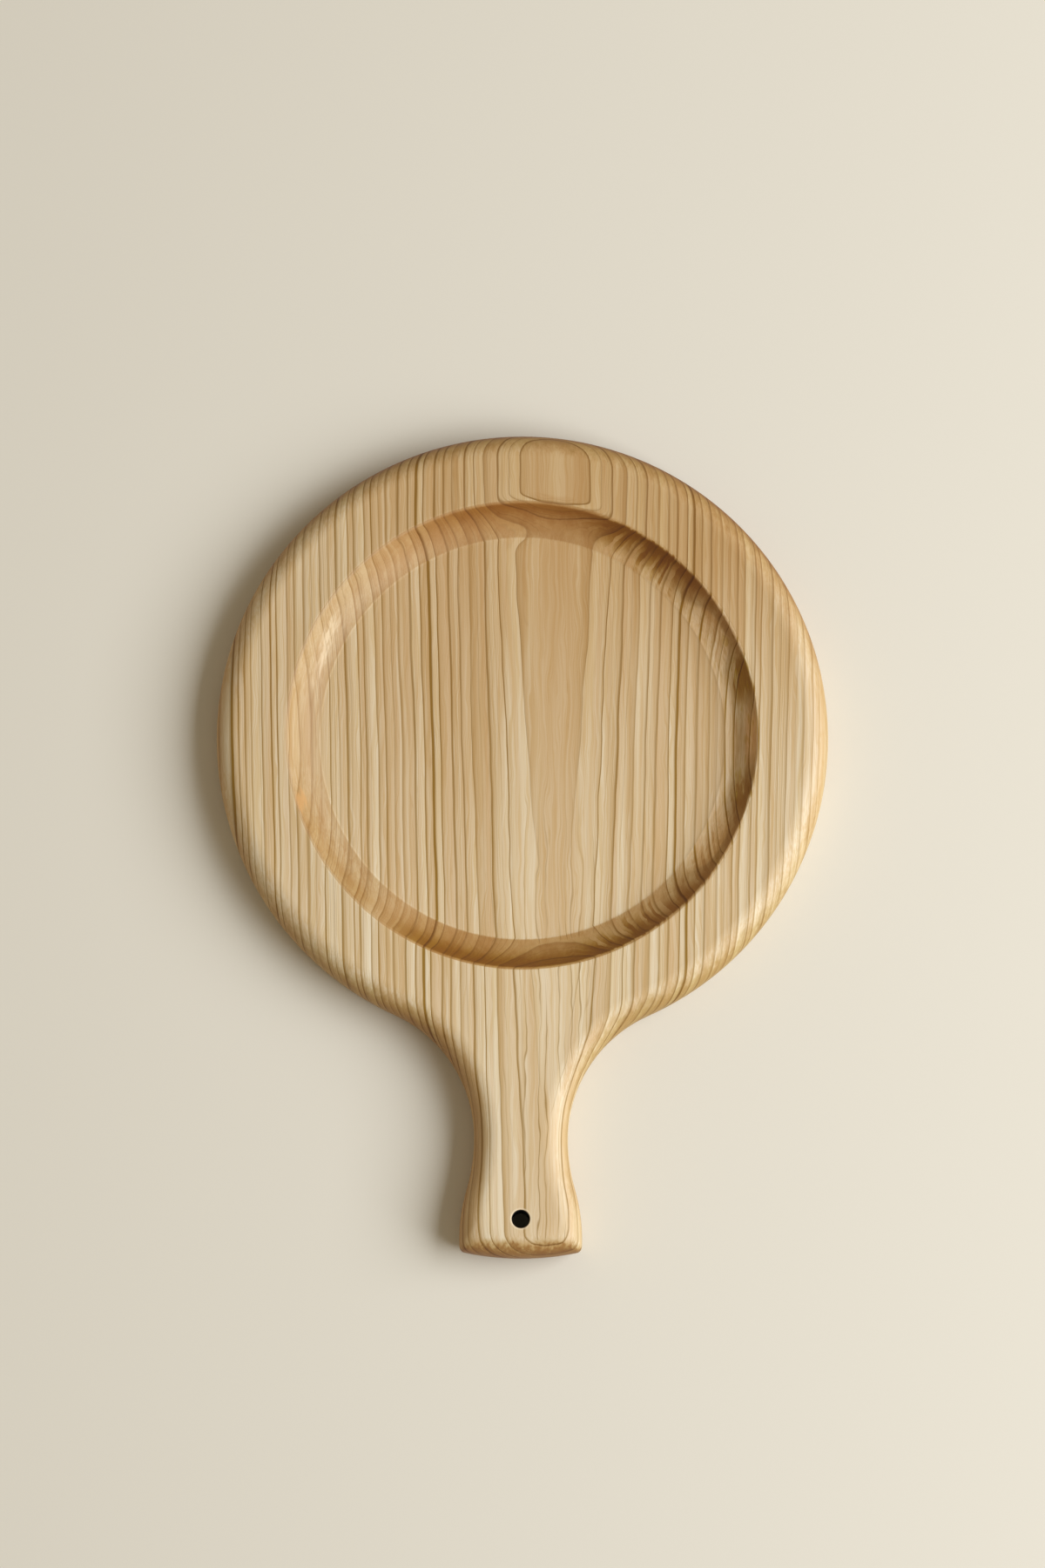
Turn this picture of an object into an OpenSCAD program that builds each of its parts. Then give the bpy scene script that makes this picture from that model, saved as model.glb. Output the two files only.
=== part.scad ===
// A round wooden serving board with a dished recess and a short flared handle with a hanging hole.
// The whole board is cut from one solid plank, so it is one part with nothing joined to it.
// X runs across the board, Y along it to the far rim, and Z up. The origin is the middle of the
// disc on the underside. Lengths are in millimetres and angles in degrees.

/* [Disc] */
// Diameter of the round disc
disc_d = 280; // [240:5:360]
// Thickness of the plank
thickness = 24; // [20:1:34]

/* [Edges] */
// Radius of the rounded top edge, all round the disc and the handle
top_edge_r = 11; // [4:0.5:13]
// Radius of the rounded bottom edge, all round the disc and the handle
bottom_edge_r = 8; // [3:0.5:11]

/* [Recess] */
// Diameter of the flat floor of the recess
floor_d = 185; // [120:5:205]
// Depth of the recess below the top face
recess_depth = 12; // [6:0.5:16]
// Slope of the hollow wall where it leaves the floor
wall_foot_slope = 15; // [5:1:30]
// Slope of the hollow wall just under the lip
wall_lip_slope = 60; // [45:1:80]
// Radius of the eased lip between the wall and the top face
lip_r = 2.5; // [1:0.5:4]

/* [Handle] */
// Length of the handle from the rim of the disc to its end, on the centre line
handle_l = 98; // [92:1:115]
// Width of the handle at its waist
waist_w = 42.5; // [34:0.5:64]
// Radius of both arcs, hollow and then full, by which each side flares from the waist to the end
flare_r = 82; // [60:1:84]
// Radius of the hollow that blends each side of the handle into the disc
neck_r = 62; // [50:1:70]
// Radius of the bowed end of the handle, seen from above
end_bow_r = 125; // [60:5:240]
// Radius of the two corners of the end, seen from above
corner_r = 3; // [1:0.5:5]

/* [Hanging hole] */
// Diameter of the hole drilled through the handle
hole_d = 8; // [4:0.5:14]
// Distance from the middle of the hole to the end of the handle
hole_inset = 17; // [13:0.5:30]
// Width of the eased edge at both mouths of the hole
hole_ease = 0.6; // [0.2:0.1:1.5]

/* [Hidden] */
$fn = 96;

// Overrun of every cut past the face that it starts from
overrun = 2;
// Depth by which the neck's hollow bites into the rim, so that they cross and don't just touch
neck_bite = 0.05;
// Depth by which a corner's arc bites into the side and the end that it rounds
corner_bite = 0.05;
// Depth by which the lip's arc bites into the wall of the recess
lip_bite = 0.01;
// Greatest slope of the flare, 7 across for every 24 along
flare_slope_share = 7 / 24;

disc_r = disc_d / 2;
reach = disc_r + handle_l;
waist_r = waist_w / 2;
deepest_edge = max(top_edge_r, bottom_edge_r);

// The hollow of the neck touches both the waist and the disc, which settles how far out the waist lies
waist_y = -sqrt(pow(disc_r + neck_r - neck_bite, 2) - pow(waist_r + neck_r, 2));

// Each side then runs on from the waist in an S, whose two arcs meet at the flare's greatest slope
flare_turn = atan(flare_slope_share);
belly_c = [waist_r + flare_r, waist_y] - 2 * flare_r * [cos(flare_turn), sin(flare_turn)];
end_c = [0, end_bow_r - reach];
// Turn of the full arc past its widest place, which takes its sector beyond the middle of the end
past_widest = atan((reach + belly_c.y + overrun) / -belly_c.x);

// Middle of the right-hand corner, one corner radius inside both the side and the end
corner_c = right_crossing(
    belly_c, flare_r - corner_r + corner_bite,
    end_c, end_bow_r - corner_r + corner_bite
);

// Section of the recess: a hollow arc from the floor up to the lip, and the lip's own arc
floor_r = floor_d / 2;
floor_z = thickness - recess_depth;
lip_drop = lip_r * (1 - cos(wall_lip_slope));
wall_r = (recess_depth - lip_drop) / (cos(wall_foot_slope) - cos(wall_lip_slope));
wall_c = [floor_r - wall_r * sin(wall_foot_slope), floor_z + wall_r * cos(wall_foot_slope)];
wall_top = wall_c + wall_r * [sin(wall_lip_slope), -cos(wall_lip_slope)];
lip_c = wall_top + (lip_r - lip_bite) * [sin(wall_lip_slope), -cos(wall_lip_slope)];

// The crossing of two circles that lies further to the right
function right_crossing(a, a_r, b, b_r) =
    let (
        gap = norm(b - a),
        along = (b - a) / gap,
        across = [along.y, -along.x],
        foot = (gap * gap + a_r * a_r - b_r * b_r) / (2 * gap),
        rise = sqrt(a_r * a_r - foot * foot),
        side = across.x > 0 ? 1 : -1
    )
    a + foot * along + side * rise * across;

// Shapes both sides of the centre line alike
module both_sides() {
    children();
    mirror([1, 0, 0]) children();
}

// What rounding takes off a square corner of the section that lies at the origin, its edges left and down
module rounding_waste(r) {
    difference() {
        translate([-r, -r]) square(r + overrun);
        translate([-r, -r]) circle(r);
    }
}

// Section of the board from x = 0 out to its rounded edge at x = w
module edge_section(w) {
    difference() {
        square([w, thickness]);
        translate([w, thickness]) rounding_waste(top_edge_r);
        translate([w, 0]) mirror([0, 1]) rounding_waste(bottom_edge_r);
    }
}

// A round slab with rounded edges
module slab(r) {
    rotate_extrude() edge_section(r);
}

// The cutter that leaves a hollow side of radius r with the same rounded edges
module scoop(r) {
    edge_w = deepest_edge + overrun;
    rotate_extrude() difference() {
        translate([0, -overrun]) square([r + deepest_edge, thickness + 2 * overrun]);
        translate([r, 0]) translate([edge_w, 0]) mirror([1, 0]) edge_section(edge_w);
    }
}

// Root of the handle: what the two neck scoops leave of the triangle between their middles and the disc's
module neck() {
    difference() {
        linear_extrude(thickness)
            polygon([[0, 0], [-waist_r - neck_r, waist_y], [waist_r + neck_r, waist_y]]);
        both_sides() translate([waist_r, waist_y]) translate([neck_r, 0]) scoop(neck_r);
    }
}

// The S of one side, laid so that its hollow and its belly meet on the x axis, with the middle of the
// hollow at the origin. Here and at the waist, moves by a radius stay apart from the other moves, so
// that pieces which meet face to face come out at exactly the same place.
module side_curve() {
    difference() {
        translate([-2 * reach, 0]) cube([2 * reach, reach, thickness]);
        scoop(flare_r);
    }
    translate([-flare_r, 0]) translate([-flare_r, 0])
        rotate_extrude(angle = -flare_turn - past_widest) edge_section(flare_r);
}

// Right-hand half of the handle from the waist on, with its bowed end and its rounded corner
module flare() {
    difference() {
        intersection() {
            translate([waist_r, waist_y]) translate([flare_r, 0]) rotate(flare_turn) side_curve();
            translate([0, 0, -overrun]) linear_extrude(thickness + 2 * overrun)
                polygon([[0, waist_y], [reach, waist_y], [reach, -2 * reach], [0, -2 * reach]]);
            translate(end_c) slab(end_bow_r);
        }
        corner_cut();
    }
}

// What is taken off a sharp corner of the end to round it, seen from above
module corner_cut() {
    to_side = (corner_c - belly_c) / norm(corner_c - belly_c);
    to_end = (corner_c - end_c) / norm(corner_c - end_c);
    span = 2 * corner_r;
    translate([0, 0, -overrun]) linear_extrude(thickness + 2 * overrun) difference() {
        polygon([
            corner_c,
            corner_c + span * to_side,
            corner_c + span * (to_side + to_end),
            corner_c + span * to_end
        ]);
        translate(corner_c) circle(corner_r);
    }
}

// Section of the dished recess, from its middle out to the lip
module recess_section() {
    difference() {
        union() {
            translate([0, floor_z]) square([wall_c.x, recess_depth + overrun]);
            intersection() {
                translate([0, floor_z]) square([wall_top.x, recess_depth + overrun]);
                translate(wall_c) circle(wall_r);
            }
            translate([wall_c.x, wall_top.y]) square([lip_c.x - wall_c.x, recess_depth]);
        }
        translate(lip_c) circle(lip_r);
    }
}

// The drilled hanging hole, with both mouths eased
module hanging_hole() {
    translate([0, hole_inset - reach, 0]) {
        translate([0, 0, -overrun]) cylinder(d = hole_d, h = thickness + 2 * overrun);
        translate([0, 0, thickness - hole_ease])
            cylinder(d1 = hole_d, d2 = hole_d + 2 * (hole_ease + overrun), h = hole_ease + overrun);
        translate([0, 0, -overrun])
            cylinder(d1 = hole_d + 2 * (hole_ease + overrun), d2 = hole_d, h = hole_ease + overrun);
    }
}

module board() {
    color("burlywood") difference() {
        union() {
            slab(disc_r);
            neck();
            both_sides() flare();
        }
        rotate_extrude() recess_section();
        hanging_hole();
    }
}

board();
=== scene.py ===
from math import asin, atan, atan2, cos, pi, radians, sin, sqrt, tau

import bmesh
import bpy
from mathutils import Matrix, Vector


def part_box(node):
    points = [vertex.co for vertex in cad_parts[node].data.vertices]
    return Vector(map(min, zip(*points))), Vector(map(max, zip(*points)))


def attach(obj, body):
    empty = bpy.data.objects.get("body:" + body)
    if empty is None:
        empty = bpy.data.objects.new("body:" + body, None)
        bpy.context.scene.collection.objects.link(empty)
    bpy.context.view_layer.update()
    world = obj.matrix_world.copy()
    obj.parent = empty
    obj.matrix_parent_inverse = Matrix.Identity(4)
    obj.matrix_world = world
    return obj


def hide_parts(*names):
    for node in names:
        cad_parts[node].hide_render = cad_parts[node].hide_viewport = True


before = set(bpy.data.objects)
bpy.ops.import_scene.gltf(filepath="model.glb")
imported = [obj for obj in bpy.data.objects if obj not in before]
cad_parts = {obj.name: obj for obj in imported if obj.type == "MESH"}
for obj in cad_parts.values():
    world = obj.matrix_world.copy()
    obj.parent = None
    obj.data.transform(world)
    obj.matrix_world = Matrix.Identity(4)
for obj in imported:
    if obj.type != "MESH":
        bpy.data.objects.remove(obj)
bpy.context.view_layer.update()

MM = 0.001


# The board: one plank of pale, ring-grained softwood. Its outline is sawn and its edges are rounded over,
# the recess is turned out of its top face with a dished wall and an eased lip, and the hanging hole is
# drilled through the flared handle. All of it is one piece, so one mesh replaces the whole CAD node.
low, high = (Vector(corner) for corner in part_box("board"))
THICKNESS = high.z - low.z
DISC_R = high.x
# A thousandth short of the solid's end, so that rounding doesn't carry the mesh past it
REACH = -low.y - 0.001 * MM
TOP_EDGE_R = 11 * MM
BOTTOM_EDGE_R = 8 * MM
NECK_R = 62 * MM
WAIST_R = 21.25 * MM
FLARE_R = 82 * MM
FLARE_TURN = atan(7 / 24)
END_BOW_R = 125 * MM
CORNER_R = 3 * MM
# Sanding turns the corners of the end rounder, the further they lie inside the outline
CORNER_SOFTENING = 0.5

FLOOR_R = 92.5 * MM
RECESS_DEPTH = 12 * MM
FOOT_SLOPE = radians(15)
LIP_SLOPE = radians(60)
LIP_R = 2.5 * MM

HOLE_R = 4 * MM
HOLE_INSET = 17 * MM
HOLE_EASE_R = 0.6 * MM

# A narrow ring of faces where a round meets a flat keeps the shading of the flat even
MARGIN = 0.5 * MM
# Points nearer to each other than this are one
HAIR = 0.01 * MM
EDGE_STEPS = 10
WALL_STEPS = 16
LIP_STEPS = 8
RECESS_STEPS = 224
MOUTH_STEPS = 5
HOLE_STEPS = 56

# The hollow of the neck touches the rim and the waist, and each side then runs on in an S to the end
NECK_LEAN = asin((WAIST_R + NECK_R) / (DISC_R + NECK_R))
WAIST_Y = -(DISC_R + NECK_R) * cos(NECK_LEAN)
NECK_C = Vector((WAIST_R + NECK_R, WAIST_Y, 0))
HOLLOW_C = Vector((WAIST_R + FLARE_R, WAIST_Y, 0))
BELLY_C = HOLLOW_C - 2 * FLARE_R * Vector((cos(FLARE_TURN), sin(FLARE_TURN), 0))
END_C = Vector((0, END_BOW_R - REACH, 0))


def crossing(a, a_r, b, b_r):
    """Where two circles seen from above cross, on the side further to the right."""
    gap = (b - a).length
    along = (b - a) / gap
    across = Vector((along.y, -along.x, 0))
    foot = (gap * gap + a_r * a_r - b_r * b_r) / (2 * gap)
    rise = sqrt(a_r * a_r - foot * foot)
    return a + along * foot + across * (rise if across.x > 0 else -rise)


def way(a, b):
    """Direction from a to b, seen from above."""
    return atan2(b.y - a.y, b.x - a.x)


def swing(bm, point, centre, turn, steps, axis=(0, 0, 1)):
    """Sweeps a point round a centre, and returns the point at the other end of its arc."""
    swept = bmesh.ops.spin(bm, geom=[point], cent=centre, axis=axis, angle=turn, steps=steps)
    return next(part for part in swept["geom_last"] if isinstance(part, bmesh.types.BMVert))


def half_outline(bm, inset, height):
    """Right-hand half of the outline at one height, drawn in by inset, from far rim to handle end."""
    known = set(bm.edges)
    corner_inset = inset + CORNER_R + CORNER_SOFTENING * inset
    corner = crossing(BELLY_C, FLARE_R - corner_inset, END_C, END_BOW_R - corner_inset)
    side_way = way(BELLY_C, corner)
    end_way = way(END_C, corner)
    # The middle of each arc, its turn and its number of steps
    arcs = [
        (Vector(), NECK_LEAN - pi, 96),
        (NECK_C, pi / 2 - NECK_LEAN, 28),
        (HOLLOW_C, FLARE_TURN, 10),
        (BELLY_C, side_way - FLARE_TURN, 14),
        (corner, end_way - side_way, 8),
        (END_C, -pi / 2 - end_way, 14),
    ]
    point = bmesh.ops.create_vert(bm, co=(0, DISC_R - inset, height))["vert"][0]
    for centre, turn, steps in arcs:
        point = swing(bm, point, (centre.x, centre.y, height), turn, steps)
    return [edge for edge in bm.edges if edge not in known]


def rounded_edge(bm):
    """The side of the board all round, from the flat of its underside to the flat of its top."""
    quarter = [step / EDGE_STEPS * pi / 2 for step in range(EDGE_STEPS + 1)]
    section = [(BOTTOM_EDGE_R + MARGIN, 0)]
    section += [(BOTTOM_EDGE_R * (1 - sin(turn)), BOTTOM_EDGE_R * (1 - cos(turn))) for turn in quarter]
    section += [
        (TOP_EDGE_R * (1 - cos(turn)), THICKNESS - TOP_EDGE_R * (1 - sin(turn))) for turn in quarter
    ]
    section += [(TOP_EDGE_R + MARGIN, THICKNESS)]
    outlines = [half_outline(bm, inset, height) for inset, height in section]
    for lower, upper in zip(outlines, outlines[1:]):
        bmesh.ops.bridge_loops(bm, edges=lower + upper)
    half = bm.verts[:] + bm.edges[:] + bm.faces[:]
    bmesh.ops.mirror(bm, geom=half, axis="X", merge_dist=HAIR)


def carry(bm, point, x, y, z):
    """Carries a section on in a straight line, and returns its new end."""
    end = bmesh.ops.extrude_vert_indiv(bm, verts=[point])["verts"][0]
    end.co = (x, y, z)
    return end


def full_turn(bm, known, centre, steps):
    """Spins the section that isn't known yet a full turn round an upright axis."""
    section = [part for part in bm.verts[:] + bm.edges[:] if part not in known]
    bmesh.ops.spin(bm, geom=section, cent=centre, axis=(0, 0, 1), angle=tau, steps=steps, use_merge=True)


def turned_recess(bm):
    """The recess as the lathe cuts it: a flat floor, a hollow wall and an eased lip."""
    known = set(bm.verts) | set(bm.edges)
    floor_z = THICKNESS - RECESS_DEPTH
    lip_drop = LIP_R * (1 - cos(LIP_SLOPE))
    wall_r = (RECESS_DEPTH - lip_drop) / (cos(FOOT_SLOPE) - cos(LIP_SLOPE))
    wall_c = (FLOOR_R - wall_r * sin(FOOT_SLOPE), 0, floor_z + wall_r * cos(FOOT_SLOPE))
    point = bmesh.ops.create_vert(bm, co=(0, 0, floor_z))["vert"][0]
    point = carry(bm, point, FLOOR_R - MARGIN, 0, floor_z)
    point = carry(bm, point, FLOOR_R, 0, floor_z)
    point = swing(bm, point, wall_c, LIP_SLOPE - FOOT_SLOPE, WALL_STEPS, axis=(0, -1, 0))
    lip_c = (point.co.x + LIP_R * sin(LIP_SLOPE), 0, THICKNESS - LIP_R)
    point = swing(bm, point, lip_c, LIP_SLOPE, LIP_STEPS, axis=(0, 1, 0))
    carry(bm, point, point.co.x + MARGIN, 0, THICKNESS)
    full_turn(bm, known, (0, 0, 0), RECESS_STEPS)


def hanging_hole(bm):
    """The drilled hole, with the edges of both mouths sanded round."""
    known = set(bm.verts) | set(bm.edges)
    y = HOLE_INSET - REACH
    mouth_r = HOLE_R + HOLE_EASE_R
    point = bmesh.ops.create_vert(bm, co=(mouth_r + MARGIN, y, THICKNESS))["vert"][0]
    point = carry(bm, point, mouth_r, y, THICKNESS)
    point = swing(bm, point, (mouth_r, y, THICKNESS - HOLE_EASE_R), pi / 2, MOUTH_STEPS, axis=(0, -1, 0))
    point = carry(bm, point, HOLE_R, y, HOLE_EASE_R)
    point = swing(bm, point, (mouth_r, y, HOLE_EASE_R), pi / 2, MOUTH_STEPS, axis=(0, -1, 0))
    carry(bm, point, mouth_r + MARGIN, y, 0)
    full_turn(bm, known, (0, y, 0), HOLE_STEPS)


def flat_face(bm, height):
    """Closes the flat between the loops of edges that lie open at one height."""
    rim = [
        edge for edge in bm.edges
        if edge.is_boundary and all(abs(vert.co.z - height) < HAIR for vert in edge.verts)
    ]
    bmesh.ops.triangle_fill(bm, edges=rim, use_beauty=True, use_dissolve=False)


bm = bmesh.new()
rounded_edge(bm)
turned_recess(bm)
hanging_hole(bm)
bmesh.ops.remove_doubles(bm, verts=bm.verts[:], dist=HAIR)
flat_face(bm, 0)
flat_face(bm, THICKNESS)
bmesh.ops.recalc_face_normals(bm, faces=bm.faces[:])
for face in bm.faces:
    face.smooth = True
board_mesh = bpy.data.meshes.new("board_wood")
bm.to_mesh(board_mesh)
bm.free()
board = bpy.data.objects.new("board_wood", board_mesh)
bpy.context.collection.objects.link(board)


class Signal:
    """A value, vector or colour in a material. Arithmetic adds Math nodes, and node() adds any other."""

    def __init__(self, tree, socket=None):
        self.tree = tree
        self.socket = socket

    def node(self, kind, settings=None, sockets=None, out=0):
        """Adds a node, with its settings first and then its sockets, and returns one output or several."""
        made = self.tree.nodes.new("ShaderNode" + kind)
        for name, setting in (settings or {}).items():
            setattr(made, name, setting)
        for name, value in (sockets or {}).items():
            if isinstance(value, Signal):
                self.tree.links.new(value.socket, made.inputs[name])
            else:
                made.inputs[name].default_value = value
        if isinstance(out, tuple):
            return [Signal(self.tree, made.outputs[name]) for name in out]
        return Signal(self.tree, made.outputs[out])

    def into(self, socket):
        """Feeds a socket of the shader."""
        self.tree.links.new(self.socket, socket)

    def math(self, operation, *values):
        return self.node("Math", {"operation": operation}, dict(enumerate(values)))

    def __add__(self, other):
        return self.math("ADD", self, other)

    def __radd__(self, other):
        return self.math("ADD", other, self)

    def __sub__(self, other):
        return self.math("SUBTRACT", self, other)

    def __rsub__(self, other):
        return self.math("SUBTRACT", other, self)

    def __mul__(self, other):
        return self.math("MULTIPLY", self, other)

    def __rmul__(self, other):
        return self.math("MULTIPLY", other, self)

    def __truediv__(self, other):
        return self.math("DIVIDE", self, other)

    def __rtruediv__(self, other):
        return self.math("DIVIDE", other, self)

    def __abs__(self):
        return self.math("ABSOLUTE", self)

    def root(self):
        return self.math("SQRT", self)


def ease(value, low, high):
    """Rises smoothly from 0 at low to 1 at high, or falls where low is the larger."""
    ends = {"Value": value, "From Min": low, "From Max": high}
    return value.node("MapRange", {"interpolation_type": "SMOOTHSTEP"}, ends)


def colour_mix(amount, under, over, blend="MIX"):
    """The first colour with that amount of the second laid over it."""
    settings = {"data_type": "RGBA", "blend_type": blend}
    return amount.node("Mix", settings, {0: amount, 6: under, 7: over}, out=2)


def stained_and_shaded(colour, *coats):
    """The colour under coats of oil, painted shade or painted light, each an amount and a tint by which it
    darkens or lightens the wood.
    """
    for amount, tint in coats:
        colour = colour_mix(amount, colour, tint, "MULTIPLY")
    return colour


def drawn_out_noise(place, across, along, shift, detail=2):
    """Noise in patches that many millimetres wide across the fibres and long along them."""
    spread = {0: place, 1: (1 / across, 1 / along, 1 / across), 2: (shift, shift, shift)}
    drawn = place.node("VectorMath", {"operation": "MULTIPLY_ADD"}, spread)
    return drawn.node("TexNoise", {}, {"Vector": drawn, "Scale": 1, "Detail": detail})


# The tree's heart ran above the board and along it, right of the middle. So the rings cross its faces as
# close lines near both sides, and as wide figure and closed loops along the middle. Places in the wood are
# in millimetres from the middle of the disc, and rings are counted outwards from the top face.
HEART_X = 14.5
HEART_Z = 63
OVALNESS = 0.81
TOP_RING = 35.8
RING_W = 3.75
TAPER = 0.0188
LINE_W = 1.0
FINE_BANDS = 4
FINE_W = RING_W / FINE_BANDS
FINE_LINE_W = 0.5
THREAD_GAP = 3.1
# Distance from the middle to where the wall ends under the lip
LIP_EDGE = 108.5
# Stretches along the board, each from where it begins to where it is full
FAR_RIM = (85, 100)
HANDLE = (-120, -170)
HANDLE_SIDES = (-105, -140)
HANDLE_TIP = (-212, -226)
HONEYED = (-170, 190)
# The pin knot, and the fibres that the gouge tore, on the left of the wall
KNOT_AT = (-100.5, -31)
KNOT_SIZE = (2.2, 5)
TORN_AT = (-91, 40)
TORN_LEAN = radians(21.7)

EARLYWOOD = (0.69, 0.53, 0.325, 1)
CREAM = (0.835, 0.735, 0.55, 1)
PINKISH = (0.715, 0.545, 0.345, 1)
LATEWOOD = (0.50, 0.33, 0.12, 1)
RING_LINE = (0.28, 0.15, 0.01, 1)
STREAK = (0.88, 0.79, 0.62, 1)
KNOT = (0.60, 0.33, 0.12, 1)
TORN = (0.93, 0.77, 0.52, 1)
EASED = (0.92, 0.80, 0.60, 1)
# Painted shade for the dark bore of the hole
BORE_SHADE = (0.002, 0.0015, 0.0015, 1)

# Tints that the oil gives the wood, some of them painted shade or partly so, and two above 1 that are
# painted light
HONEY = (0.75, 0.62, 0.44, 1)
EDGE_OIL = (0.90, 0.85, 0.72, 1)
LEFT_EDGE_SHADE = (0.93, 0.82, 0.69, 1)
END_GRAIN = (0.75, 0.68, 0.47, 1)
FAR_EDGE_SHADE = (0.68, 0.48, 0.22, 1)
HANDLE_OIL_AND_SHADE = (0.88, 0.79, 0.64, 1)
HANDLE_END = (0.70, 0.54, 0.38, 1)
WALL_SHADE = (0.80, 0.70, 0.56, 1)
FAR_GRAIN_AND_SHADE = (0.92, 0.82, 0.66, 1)
NEAR_GRAIN_AND_SHADE = (0.83, 0.70, 0.50, 1)
LEFT_WALL_SHADE = (0.88, 0.86, 0.81, 1)
LIP_SHADE = (0.71, 0.54, 0.26, 1)
DEEP_SHADE = (0.70, 0.58, 0.09, 1)
FOOT_LIGHT = (1.46, 1.56, 1.8, 1)
WALL_LIGHT = (1.4, 1.33, 1.4, 1)

wood = bpy.data.materials.new("oiled_softwood")
wood.use_nodes = True
shader = wood.node_tree.nodes["Principled BSDF"]
metres, normal = Signal(wood.node_tree).node("TexCoord", out=("Object", "Normal"))
place = metres.node("VectorMath", {"operation": "SCALE"}, {0: metres, "Scale": 1 / MM})
x, y, z = place.node("SeparateXYZ", {}, {0: place}, out=("X", "Y", "Z"))
face_x, face_y, face_z = normal.node("SeparateXYZ", {}, {0: normal}, out=("X", "Y", "Z"))

# The recess, its turned wall, which side of it faces the light, and the directions from its middle
from_middle = (x * x + y * y).root()
to_right = x / from_middle
to_far = y / from_middle
due_right = ease(to_right, 0.72, 0.86)
recess = ease(from_middle, LIP_EDGE + 1, LIP_EDGE - 0.5)
wall = recess * ease(face_z, 0.99, 0.96)
lit_side = ease(face_x, 0.1, 0.7)
shaded_side = ease(face_x, -0.05, -0.3)
cut_across = ease(abs(face_y), 0.15, 0.5)
on_handle = ease(y, *HANDLE)

# Distance from the heart, through rings that are a little flatter than round
across = x - HEART_X
above = (z - HEART_Z) * OVALNESS
from_heart = (across * across + above * above).root()

# How fast that distance grows over the surface, so that a ring's line is as thin on any slope
rise_x = across / from_heart
rise_z = above / from_heart * OVALNESS
straight_out = rise_x * face_x + rise_z * face_z
growth = (rise_x * rise_x + rise_z * rise_z - straight_out * straight_out + 0.01).root()

# Over the far lip the innermost rings turn down sooner, so that the last of them closes on the rim
over_lip = ease(from_middle, LIP_EDGE + 5.7, LIP_EDGE - 1.3)
at_far_lip = ease(y, *FAR_RIM) * ease(abs(across), 30, 12)
turned_down = over_lip * over_lip * over_lip * at_far_lip
growth = growth + 1.8 * turned_down * ease(from_middle, LIP_EDGE - 1.3, LIP_EDGE - 0.5)

# The rings wander along the plank and differ in width
slow_wander = (drawn_out_noise(place, across=60, along=170, shift=3.1, detail=1) - 0.5) * 3.6
quick_wander = (drawn_out_noise(place, across=12, along=45, shift=8.7) - 0.5) * 1.6 * ease(growth, 0.1, 0.4)
depth = (from_heart + slow_wander + quick_wander - y * TAPER - TOP_RING) / RING_W
depth = depth + 0.9 * turned_down
uneven = depth.node("TexNoise", {"noise_dimensions": "1D"}, {"W": depth, "Scale": 0.45, "Detail": 1})
count = depth + (uneven - 0.5) * 1.4


def rings(count, spacing, width):
    """How far through its ring a place is, the ring's dark end line, and three chances of the ring."""
    ring = count.math("FLOOR", count)
    age = count - ring
    before = (1 - age) * spacing / growth
    beyond = age * spacing / growth * 3
    line = ease(before.math("MINIMUM", before, beyond), width, 0.15 * width)
    dice = ring.node("TexWhiteNoise", {"noise_dimensions": "1D"}, {"W": ring}, out="Color")
    return age, line, dice.node("SeparateColor", {}, {0: dice}, out=("Red", "Green", "Blue"))


def of_year(year, number):
    """1 in the wood of the year of that number, and 0 in that of all others."""
    return ease(abs(year - number), 0.6, 0.4)


# Where the face lies along a ring, right over the heart, its edge is too slanting to show
clear = ease(growth, 0.12, 0.4)

# Rings differ in how dark they end and in tint, and a few years stand out or hardly show
year = count.math("FLOOR", count)
boldest = of_year(year, 8)
age, line, (boldness, lateness, paleness) = rings(count, RING_W, LINE_W + 0.7 * boldest)
boldness = boldness + 0.8 * of_year(year, -2) + 0.6 * of_year(year, 0)
boldness = boldness - of_year(year, 1) + of_year(year, 2) * on_handle
patchy = drawn_out_noise(place, across=5, along=90, shift=12.3)
line = line * (0.25 + 0.75 * ease(boldness, 0, 0.8) + 0.5 * boldest)
line = line * (0.5 + patchy + 0.4 * boldest) * clear
line = line * (1 - 0.25 * ease(x, 25, 70)) * (1 + 0.6 * ease(x, -85, -115))
# On the wall, ring lines are drawn fainter where the lamp reaches and bolder on the shaded right, as
# painted shade
line = line * (1 - 0.45 * wall * (1 - shaded_side)) * (1 + 1.2 * wall * due_right)
late = age.math("POWER", age, 2.5) * (0.15 + 0.85 * lateness + 0.6 * boldest) * clear

# Each year's growth has finer bands of its own
broad = drawn_out_noise(place, across=6, along=220, shift=5.5)
fine_count = count * FINE_BANDS + (broad - 0.5) * 2
_, fine_line, (fine_boldness, fine_tint, fine_paleness) = rings(fine_count, FINE_W, FINE_LINE_W)
fine_line = fine_line * ease(fine_boldness, 0.35, 1.0) * ease(growth, 0.15, 0.6)

# Streaks, fibres and a few dark threads run along the plank and waver a little
waver = (drawn_out_noise(place, across=8, along=30, shift=61.7) - 0.5) * 6
sideways = waver.node("CombineXYZ", {}, {"X": waver})
wavy = place.node("VectorMath", {"operation": "ADD"}, {0: place, 1: sideways})
streaks = drawn_out_noise(wavy, across=1.6, along=75, shift=21.9, detail=3)
fibres = drawn_out_noise(wavy, across=0.45, along=70, shift=33.3, detail=1)
thread_count = (x + waver) / THREAD_GAP
thread = thread_count.math("FLOOR", thread_count)
from_thread = abs(thread_count - thread - 0.5) * THREAD_GAP
thread_dice = thread.node("TexWhiteNoise", {"noise_dimensions": "1D"}, {"W": thread})
threads = ease(from_thread, 0.4, 0.05) * ease(thread_dice, 0.2, 0.7) * ease(patchy, 0.3, 0.55)
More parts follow.
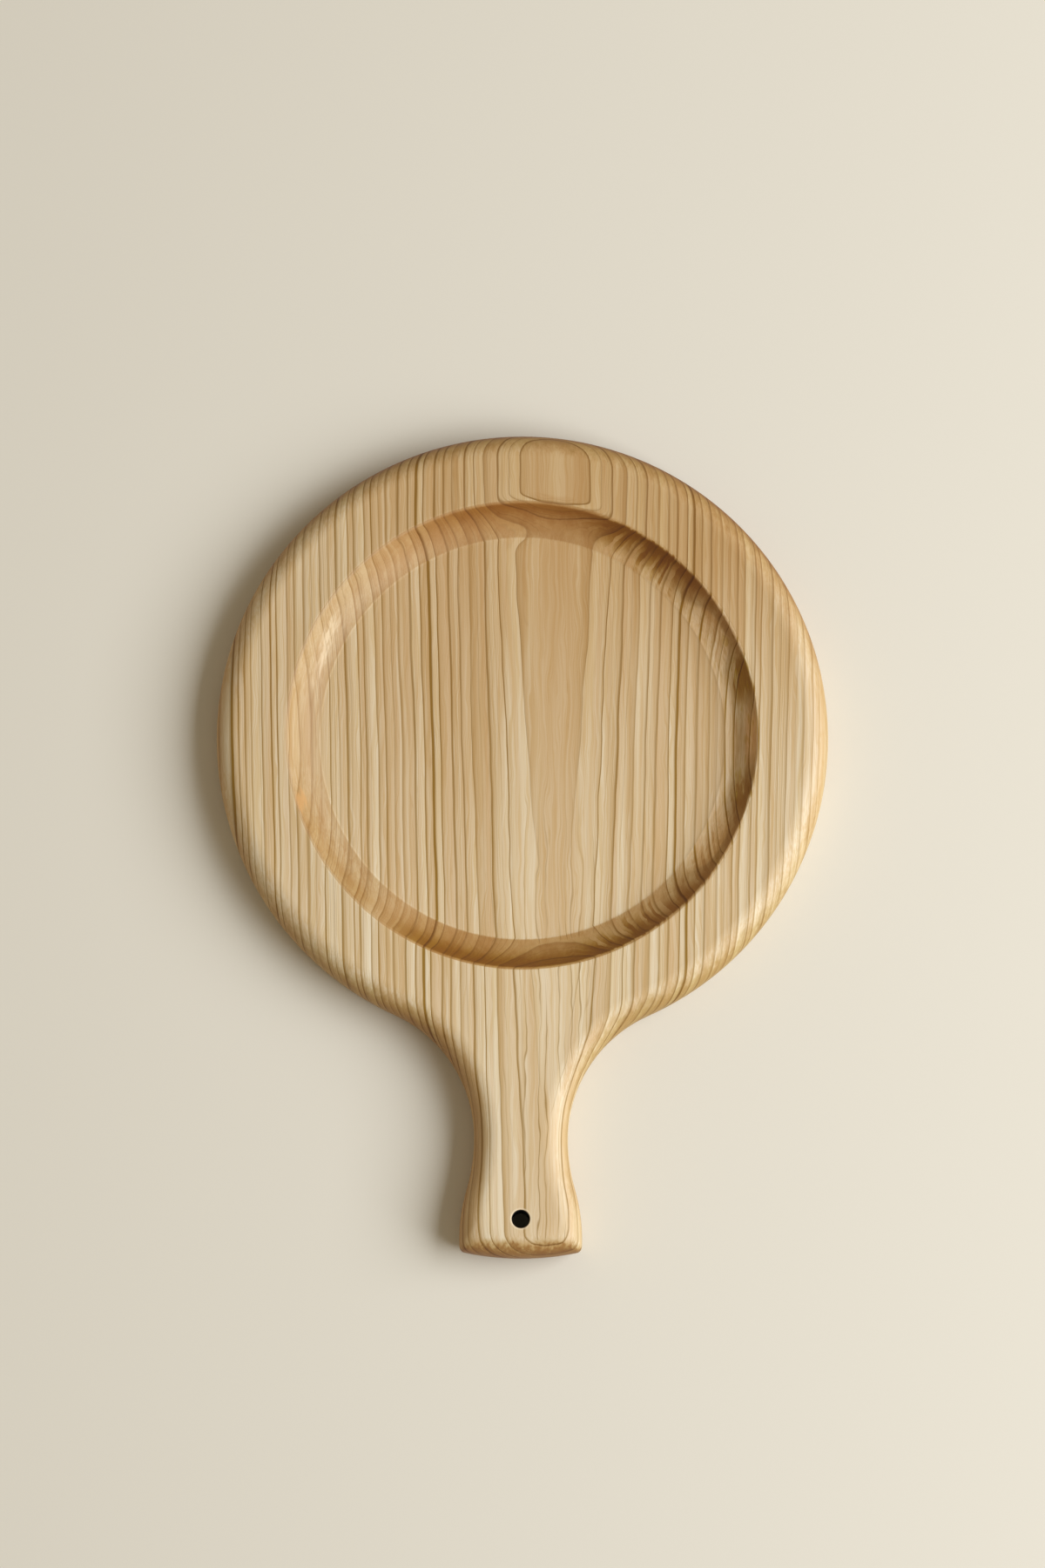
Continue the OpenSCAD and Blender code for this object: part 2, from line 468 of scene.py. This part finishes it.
threads = threads * ease(growth, 0.66, 0.4) * ease(face_z, 0.9, 0.97) * ease(y, 0, -110)
streaked = ease(streaks * 0.5 + fibres * 0.5, 0.64, 0.36) * (1 - 0.6 * cut_across) + 0.3 * cut_across
streaked = streaked * (1 - 0.25 * on_handle)

# The bare wood: pale bands, darker towards the end of each year, then streaks, threads and ring lines
tone = 0.3 + (paleness - 0.3) * clear + (broad - 0.5) * (1 + clear)
tone = tone - 0.08 * on_handle + 0.25 * ease(count, 0.2, -0.2)
colour = colour_mix(ease(tone, 0.1, 1.0), EARLYWOOD, CREAM)
colour = colour_mix(ease(fine_tint, 0.3, 1) * ease(growth, 0.1, 0.6) * 0.55, colour, PINKISH)
colour = colour_mix(ease(fine_paleness, 0.6, 1) * ease(growth, 0.1, 0.6) * 0.5, colour, CREAM)
colour = colour_mix(late * 0.8, colour, LATEWOOD)
colour = colour_mix(streaked, colour, STREAK, "MULTIPLY")
colour = colour_mix(fine_line * 0.35, colour, RING_LINE)
colour = colour_mix(threads * 0.75, colour, RING_LINE)
colour = colour_mix(line * 0.85, colour, RING_LINE)

# The oil has gone deeper into the far end, the outer edge and end grain, and painted shade darkens some
# edges
frayed = (drawn_out_noise(wavy, across=1.6, along=16, shift=51.3) - 0.5) * (1 - 0.8 * recess * cut_across)
to_a_side = 0.4 * ease(x, 0, 90) - 0.25 * ease(x, 0, -90)
honeyed = ease(y, *HONEYED) - 0.2 * ease(abs(x), 10, 90) + ease(y, 20, 90) * to_a_side
outside = 1 - recess
edge = outside * ease(face_z, 0.9, 0.4)
# Painted shade on the far outer edge, which turns away from the lamp
far_edge = outside * ease(face_z, 0.75, 0.3) * ease(face_y + 0.2 * face_x, 0.15, 0.9)
end_grain = outside * ease(abs(face_y) + frayed * 0.8, 0.15, 0.75)
# The handle's sides are oiled, and most on the left, where the tint is also painted shade
handle_side = ease(face_z, 0.98, 0.85) * ease(y, *HANDLE_SIDES) * (1 - 0.8 * ease(face_x, 0.1, 0.6))
handle_end = ease(y, *HANDLE_TIP) * ease(face_y - frayed * 1.2, -0.4, -0.85)
colour = stained_and_shaded(
    colour,
    (honeyed, HONEY),
    (edge, EDGE_OIL),
    # Painted shade on the outer edge that faces left, away from the lamp
    (edge * ease(face_x, -0.05, -0.5), LEFT_EDGE_SHADE),
    (far_edge, FAR_EDGE_SHADE),
    (end_grain, END_GRAIN),
    (handle_side, HANDLE_OIL_AND_SHADE),
    (handle_end, HANDLE_END),
)

# Painted shade darkens the lip in frayed strokes, deepest in patches along the side turned from the lamp,
# and spares some places
blotches = drawn_out_noise(place, across=7, along=11, shift=71.9)
blotched = ease(blotches + frayed * 0.8, 0.6, 0.4)
ring_fray = (fine_tint - 0.5) * 0.3 * shaded_side
lip = recess * ease(face_z + frayed * 0.7 + ring_fray, 0.92, 0.55)
under_lip = recess * ease(face_z + frayed * 0.5 + ring_fray, 0.95, 0.66)
upper_right = ease(to_far, 0.6, 0.8) * ease(to_right, 0.25, 0.45)
near = ease(to_far, -0.75, -0.9) * ease(to_right, -0.72, -0.38)
lower_left = ease(to_far, -0.1, -0.4) * ease(to_right, -0.6, -0.72)
dark_patch = ease(abs(abs(to_far) - 0.26), 0.14, 0.03) * due_right
lip_shade = lip * (1 - lit_side) * (1 - due_right * (1 - dark_patch) * (1 - 0.3 * blotched))
lip_shade = lip_shade + 0.6 * under_lip * lower_left
deep_shade = 0.85 * upper_right + 0.9 * near + dark_patch * (0.4 + 0.45 * ease(to_far, 0, 0.2))
deep_shade = deep_shade + due_right * ease(blotches + frayed, 0.58, 0.7) * 0.6

# The wall under it takes thin painted shade where the lamp lights it and an end-grain tint, and painted
# light brightens its foot and the middle of the shaded side
upper_left = ease(face_x, 0.1, 0.4) * ease(face_y, -0.05, -0.3)
wall_shade_amount = (1 - shaded_side * (1 - lip)) * (1 - lit_side * (0.15 + 0.4 * lip)) * (1 - 0.5 * upper_left)
# Painted light on the shaded wall's foot and its middle, where the lamp leaves them dark
foot_light_patch = ease(abs(abs(to_far) - 0.5), 0.2, 0.05) * due_right
foot_light = ease(face_z + 0.22 * foot_light_patch, 0.84, 0.93)
foot_light = foot_light * (due_right + 0.5 * (1 - due_right) * ease(to_right, 0.2, 0.5) * ease(to_far, 0.3, 0.6))
middle_right = wall * due_right * ease(abs(to_far), 0.18, 0.03)
wall_light = middle_right * ease(face_z, 0.8, 0.68)
colour = stained_and_shaded(
    colour,
    # Painted shade on the wall where the lamp lights it, and end grain with painted shade on the far and
    # near walls
    (wall * wall_shade_amount, WALL_SHADE),
    (wall * ease(face_y, -0.2, -0.6) * (1 - lit_side), FAR_GRAIN_AND_SHADE),
    (wall * ease(face_y, 0.03, 0.35) * ease(to_right, -0.72, -0.38), NEAR_GRAIN_AND_SHADE),
    (wall * ease(to_right, -0.55, -0.75), LEFT_WALL_SHADE),
    (lip_shade, LIP_SHADE),
    (under_lip * deep_shade, DEEP_SHADE),
    # Painted light on the shaded wall
    (wall * foot_light, FOOT_LIGHT),
    (wall_light, WALL_LIGHT),
    # Painted shade edging the painted light in the middle of the shaded side
    ((middle_right * ease(face_z, 0.93, 0.86) - wall_light) * 0.7, WALL_SHADE),
)

# On the left of the turned wall lie a pin knot and, above it, a few pale fibres torn by the gouge
knot_x = (x - KNOT_AT[0]) / KNOT_SIZE[0]
knot_y = (y - KNOT_AT[1]) / KNOT_SIZE[1]
from_knot = (knot_x * knot_x + knot_y * knot_y).root() + frayed * 3
colour = colour_mix(ease(from_knot, 1.3, 0.3) * 0.6, colour, KNOT)
torn_x = x - TORN_AT[0]
torn_y = y - TORN_AT[1]
torn_across = abs(torn_x * cos(TORN_LEAN) - torn_y * sin(TORN_LEAN) + frayed * 10)
torn_along = abs(torn_x * sin(TORN_LEAN) + torn_y * cos(TORN_LEAN))
torn = ease(torn_across, 4.5, 0.5) * ease(torn_along, 22, 8) * ease(streaks, 0.35, 0.65)
colour = colour_mix(torn * 0.45, colour, TORN)

# The eased mouth of the hole is bare and pale, and its bore is painted near black, as painted shade for the
# dark of a deep narrow hole
bore_r = HOLE_R / MM
hole_y = y - (HOLE_INSET - REACH) / MM
from_hole = (x * x + hole_y * hole_y).root()
bore_shade = ease(from_hole, bore_r + 0.25, bore_r + 0.05)
colour = colour_mix(ease(from_hole, bore_r + 1.2, bore_r + 0.7) * 0.4, colour, EASED)
colour = colour_mix(bore_shade, colour, BORE_SHADE)

# Sanding leaves the fibres a hair proud and the hard ring lines a little hollow, under a satin oil
roughness = 0.48 + 0.12 * streaks + 0.06 * line + 0.4 * bore_shade
relief = fibres * 0.4 + streaks * 0.3 - line * 0.6
bumps = relief.node("Bump", {}, {"Height": relief, "Strength": 0.25, "Distance": 0.1 * MM}, out="Normal")
colour.into(shader.inputs["Base Color"])
roughness.into(shader.inputs["Roughness"])
bumps.into(shader.inputs["Normal"])
board_mesh.materials.append(wood)

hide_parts("board")
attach(board, "root")


# The floor: a plain pale sheet, matt, laid under the board and reaching far past it.
# Far out it turns into the same plain light tone as the backdrop behind it, so no horizon shows.
STUDIO_R = 12
FADE_START = 0.46
FADE_END = 1.3
FLOOR_GAP = 0.1 * MM
BACKDROP = (0.72, 0.67, 0.57, 1)
bm = bmesh.new()
bmesh.ops.create_circle(bm, cap_ends=True, radius=STUDIO_R, segments=96)
bmesh.ops.translate(bm, verts=bm.verts[:], vec=(0, 0, -FLOOR_GAP))
floor_mesh = bpy.data.meshes.new("floor")
bm.to_mesh(floor_mesh)
bm.free()
floor = bpy.data.objects.new("floor", floor_mesh)
bpy.context.collection.objects.link(floor)


def on_show(tree):
    """1 for rays that show the background, straight or in a glossy or clear surface, and 0 for others."""
    rays = Signal(tree).node("LightPath", out=("Is Camera Ray", "Is Glossy Ray", "Is Transmission Ray"))
    shown = rays[0] + rays[1] + rays[2]
    return shown.math("MINIMUM", shown, 1)


paper = bpy.data.materials.new("pale_floor")
paper.use_nodes = True
sheet = paper.node_tree.nodes["Principled BSDF"]
sheet.inputs["Base Color"].default_value = (0.79, 0.765, 0.68, 1)
sheet.inputs["Roughness"].default_value = 0.9
sheet.inputs["Specular IOR Level"].default_value = 0.1
start = Signal(paper.node_tree)
place = start.node("TexCoord", out="Object")
distance = place.node("VectorMath", {"operation": "LENGTH"}, {0: place}, out="Value")
faded = ease(distance, FADE_START, FADE_END) * on_show(paper.node_tree)
glow = start.node("Emission", {}, {"Color": BACKDROP, "Strength": 1})
surface = start.node("MixShader", {}, {0: faded, 1: Signal(paper.node_tree, sheet.outputs[0]), 2: glow})
surface.into(paper.node_tree.nodes["Material Output"].inputs["Surface"])
floor_mesh.materials.append(paper)


# The light of a window-sized soft lamp on the right, and the even light of a pale room from all round.
# The camera looks down on the board from nearly overhead, leaning a little towards the handle.
LAMP_RISE = radians(39.5)
LAMP_TURN = radians(-8)
LAMP_REACH = 2.9
lamp_data = bpy.data.lights.new("soft_lamp", "AREA")
lamp_data.shape = "RECTANGLE"
lamp_data.size = 2.15
lamp_data.size_y = 3.0
lamp_data.energy = 112
lamp_data.color = (0.955, 0.97, 1.0)
lamp = bpy.data.objects.new("soft_lamp", lamp_data)
sideways_reach = LAMP_REACH * cos(LAMP_RISE)
lamp.location = (
    sideways_reach * cos(LAMP_TURN),
    sideways_reach * sin(LAMP_TURN),
    LAMP_REACH * sin(LAMP_RISE),
)
lamp.rotation_euler = (0, pi / 2 - LAMP_RISE, LAMP_TURN)
bpy.context.collection.objects.link(lamp)

ROOM_LIGHT = (0.285, 0.238, 0.168, 1)
room = bpy.data.worlds.new("pale_room")
room.use_nodes = True
bpy.context.scene.world = room
backdrop = colour_mix(on_show(room.node_tree), ROOM_LIGHT, BACKDROP)
backdrop.into(room.node_tree.nodes["Background"].inputs["Color"])

CAMERA_TILT = radians(8)
CAMERA_TURN = radians(0.2)
CAMERA_REACH = 2.59
AIM = Vector((0.1 * MM, -21.5 * MM, 12 * MM))
camera_data = bpy.data.cameras.new("camera")
camera_data.lens = 130
camera_data.sensor_width = 36
camera = bpy.data.objects.new("camera", camera_data)
camera.rotation_euler = (CAMERA_TILT, 0, CAMERA_TURN)
camera.location = AIM + camera.rotation_euler.to_matrix() @ Vector((0, 0, CAMERA_REACH))
bpy.context.collection.objects.link(camera)
bpy.context.scene.camera = camera
bpy.context.scene.view_settings.view_transform = "Standard"
